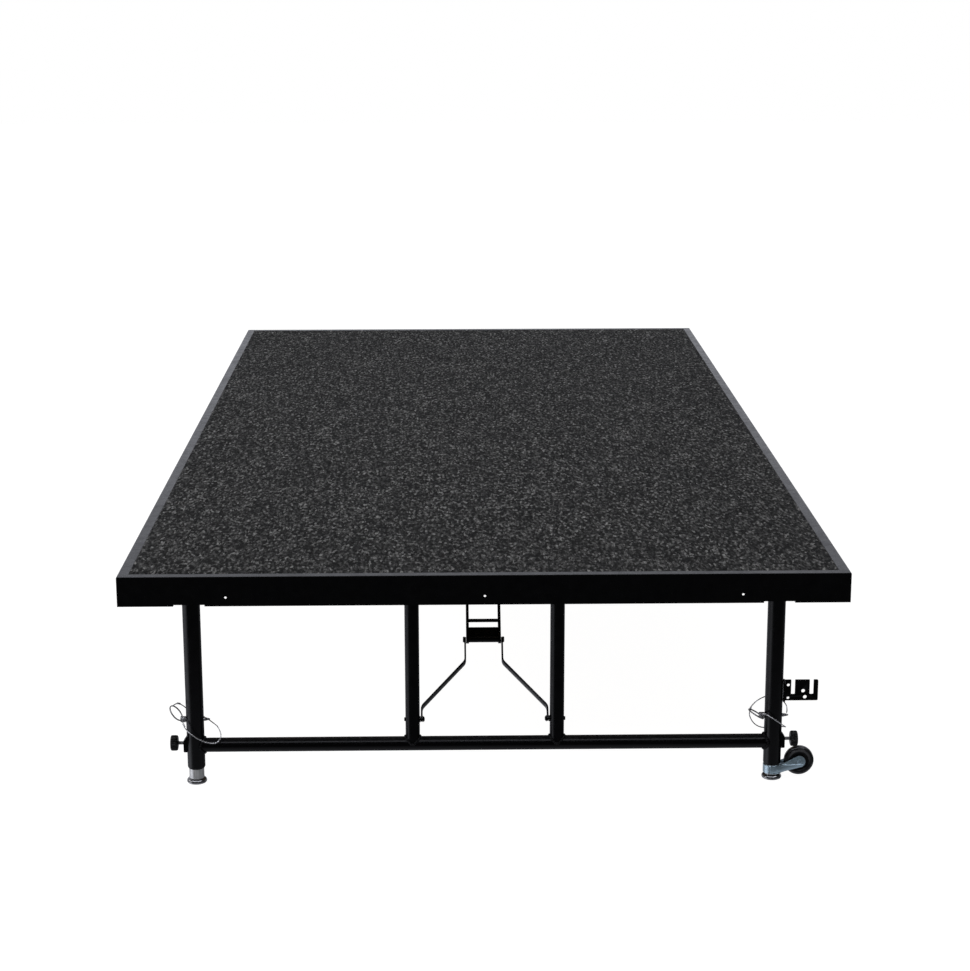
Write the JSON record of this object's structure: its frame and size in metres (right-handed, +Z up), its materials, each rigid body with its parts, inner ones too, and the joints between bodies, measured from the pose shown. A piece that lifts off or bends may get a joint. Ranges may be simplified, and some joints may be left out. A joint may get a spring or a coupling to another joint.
{
  "type": "adjustable height stage",
  "caption": "Folding portable stage deck, carpeted, with telescopic tube legs held by pins and clamp knobs, folding braces and side wheels.",
  "frame": {"origin": "on the floor, under the middle of the deck", "axes": "+Z up, +Y along the deck from the pictured front end to the rear end, +X across it towards the side with the wheels"},
  "size_m": [1.2192, 2.4384, 0.373],
  "materials": {
    "black_paint": "satin black powder coat",
    "carpet": "short charcoal pile with lighter flecks",
    "plywood": "unfinished plywood underside",
    "chromed_tube": "bright plated tube",
    "steel_wire": "bright steel wire and pins",
    "zinc_plate": "blue zinc plating",
    "knob_plastic": "matte black moulding",
    "wheel_rubber": "matte black rubber"
  },
  "bodies": {
    "deck": {"deck_board": "plywood", "carpet": "carpet", "end_rail_front": "black_paint", "side_rail_front_left": "black_paint", "side_rail_front_right": "black_paint", "cross_member_front": "black_paint", "pivot_bracket_front_left": "black_paint", "pivot_bracket_front_right": "black_paint", "centre_bracket_front": "black_paint", "brace_anchor_front": "black_paint", "end_rail_rear": "black_paint", "side_rail_rear_left": "black_paint", "side_rail_rear_right": "black_paint", "cross_member_rear": "black_paint", "pivot_bracket_rear_left": "black_paint", "pivot_bracket_rear_right": "black_paint", "centre_bracket_rear": "black_paint", "brace_anchor_rear": "black_paint"},
    "leg_frame_front": {"outer_leg_front_left": "black_paint", "outer_leg_front_right": "black_paint", "inner_leg_front_left": "black_paint", "inner_leg_front_right": "black_paint", "lower_crossbar_front": "black_paint", "slotted_plate_front": "black_paint", "pin_lanyard_front_left": "steel_wire", "pin_lanyard_front_right": "steel_wire"},
    "lower_brace_front": {"brace_lower_bar_front_left": "black_paint", "brace_lower_bar_front_right": "black_paint"},
    "upper_brace_front": {"brace_upper_link_front": "black_paint"},
    "telescope_front_left": {"telescopic_leg_front_left": "chromed_tube", "foot_glide_front_left": "chromed_tube"},
    "pin_front_left": {"locking_pin_front_left": "steel_wire"},
    "knob_front_left": {"clamp_knob_front_left": "knob_plastic"},
    "telescope_front_right": {"telescopic_leg_front_right": "chromed_tube", "foot_glide_front_right": "chromed_tube", "wheel_fork_front": "zinc_plate"},
    "pin_front_right": {"locking_pin_front_right": "steel_wire"},
    "knob_front_right": {"clamp_knob_front_right": "knob_plastic"},
    "wheel_body_front": {"wheel_front": "wheel_rubber"},
    "leg_frame_rear": {"outer_leg_rear_left": "black_paint", "outer_leg_rear_right": "black_paint", "inner_leg_rear_left": "black_paint", "inner_leg_rear_right": "black_paint", "lower_crossbar_rear": "black_paint", "slotted_plate_rear": "black_paint", "pin_lanyard_rear_left": "steel_wire", "pin_lanyard_rear_right": "steel_wire"},
    "lower_brace_rear": {"brace_lower_bar_rear_left": "black_paint", "brace_lower_bar_rear_right": "black_paint"},
    "upper_brace_rear": {"brace_upper_link_rear": "black_paint"},
    "telescope_rear_left": {"telescopic_leg_rear_left": "chromed_tube", "foot_glide_rear_left": "chromed_tube"},
    "pin_rear_left": {"locking_pin_rear_left": "steel_wire"},
    "knob_rear_left": {"clamp_knob_rear_left": "knob_plastic"},
    "telescope_rear_right": {"telescopic_leg_rear_right": "chromed_tube", "foot_glide_rear_right": "chromed_tube", "wheel_fork_rear": "zinc_plate"},
    "pin_rear_right": {"locking_pin_rear_right": "steel_wire"},
    "knob_rear_right": {"clamp_knob_rear_right": "knob_plastic"},
    "wheel_body_rear": {"wheel_rear": "wheel_rubber"}
  },
  "joints": [
    {"name": "front_fold", "type": "hinge", "parent": "deck", "child": "leg_frame_front", "pos_m": [0, -1.1892, 0.332], "axis": [1, 0, 0], "range_deg": [0, 90]},
    {"name": "front_lower_brace", "type": "hinge", "parent": "leg_frame_front", "child": "lower_brace_front", "pos_m": [0, -1.1892, 0.11], "axis": [1, 0, 0], "range_deg": [0, 47.52]},
    {"name": "front_upper_brace", "type": "hinge", "parent": "deck", "child": "upper_brace_front", "pos_m": [0, -0.9472, 0.332], "axis": [-1, 0, 0], "range_deg": [0, 42.58]},
    {"name": "front_left_telescope", "type": "slide", "parent": "leg_frame_front", "child": "telescope_front_left", "axis": [0, 0, -1], "range_m": [0, 0.2032]},
    {"name": "front_left_pin", "type": "slide", "parent": "leg_frame_front", "child": "pin_front_left", "axis": [-1, 0, 0], "range_m": [0, 0.045]},
    {"name": "front_left_knob", "type": "hinge", "parent": "leg_frame_front", "child": "knob_front_left", "pos_m": [-0.491, -1.1892, 0.0705], "axis": [-1, 0, 0], "range_deg": [0, 720]},
    {"name": "front_right_telescope", "type": "slide", "parent": "leg_frame_front", "child": "telescope_front_right", "axis": [0, 0, -1], "range_m": [0, 0.2032]},
    {"name": "front_right_pin", "type": "slide", "parent": "leg_frame_front", "child": "pin_front_right", "axis": [-1, 0, 0], "range_m": [0, 0.045]},
    {"name": "front_right_knob", "type": "hinge", "parent": "leg_frame_front", "child": "knob_front_right", "pos_m": [0.491, -1.1892, 0.0705], "axis": [1, 0, 0], "range_deg": [0, 720]},
    {"name": "front_wheel_spin", "type": "hinge", "parent": "telescope_front_right", "child": "wheel_body_front", "pos_m": [0.537, -1.1892, 0.0315], "axis": [0, 1, 0], "continuous": true},
    {"name": "rear_fold", "type": "hinge", "parent": "deck", "child": "leg_frame_rear", "pos_m": [0, 1.1892, 0.332], "axis": [-1, 0, 0], "range_deg": [0, 90]},
    {"name": "rear_lower_brace", "type": "hinge", "parent": "leg_frame_rear", "child": "lower_brace_rear", "pos_m": [0, 1.1892, 0.11], "axis": [-1, 0, 0], "range_deg": [0, 47.52]},
    {"name": "rear_upper_brace", "type": "hinge", "parent": "deck", "child": "upper_brace_rear", "pos_m": [0, 0.9472, 0.332], "axis": [1, 0, 0], "range_deg": [0, 42.58]},
    {"name": "rear_left_telescope", "type": "slide", "parent": "leg_frame_rear", "child": "telescope_rear_left", "axis": [0, 0, -1], "range_m": [0, 0.2032]},
    {"name": "rear_left_pin", "type": "slide", "parent": "leg_frame_rear", "child": "pin_rear_left", "axis": [-1, 0, 0], "range_m": [0, 0.045]},
    {"name": "rear_left_knob", "type": "hinge", "parent": "leg_frame_rear", "child": "knob_rear_left", "pos_m": [-0.491, 1.1892, 0.0705], "axis": [-1, 0, 0], "range_deg": [0, 720]},
    {"name": "rear_right_telescope", "type": "slide", "parent": "leg_frame_rear", "child": "telescope_rear_right", "axis": [0, 0, -1], "range_m": [0, 0.2032]},
    {"name": "rear_right_pin", "type": "slide", "parent": "leg_frame_rear", "child": "pin_rear_right", "axis": [-1, 0, 0], "range_m": [0, 0.045]},
    {"name": "rear_right_knob", "type": "hinge", "parent": "leg_frame_rear", "child": "knob_rear_right", "pos_m": [0.491, 1.1892, 0.0705], "axis": [1, 0, 0], "range_deg": [0, 720]},
    {"name": "rear_wheel_spin", "type": "hinge", "parent": "telescope_rear_right", "child": "wheel_body_rear", "pos_m": [0.537, 1.1892, 0.0315], "axis": [0, 1, 0], "continuous": true}
  ],
  "couplings": [
    {"joint": "front_lower_brace", "follows": "front_fold", "ratio": 0.52742},
    {"joint": "front_upper_brace", "follows": "front_fold", "ratio": 0.47258},
    {"joint": "rear_lower_brace", "follows": "rear_fold", "ratio": 0.52742},
    {"joint": "rear_upper_brace", "follows": "rear_fold", "ratio": 0.47258}
  ]
}
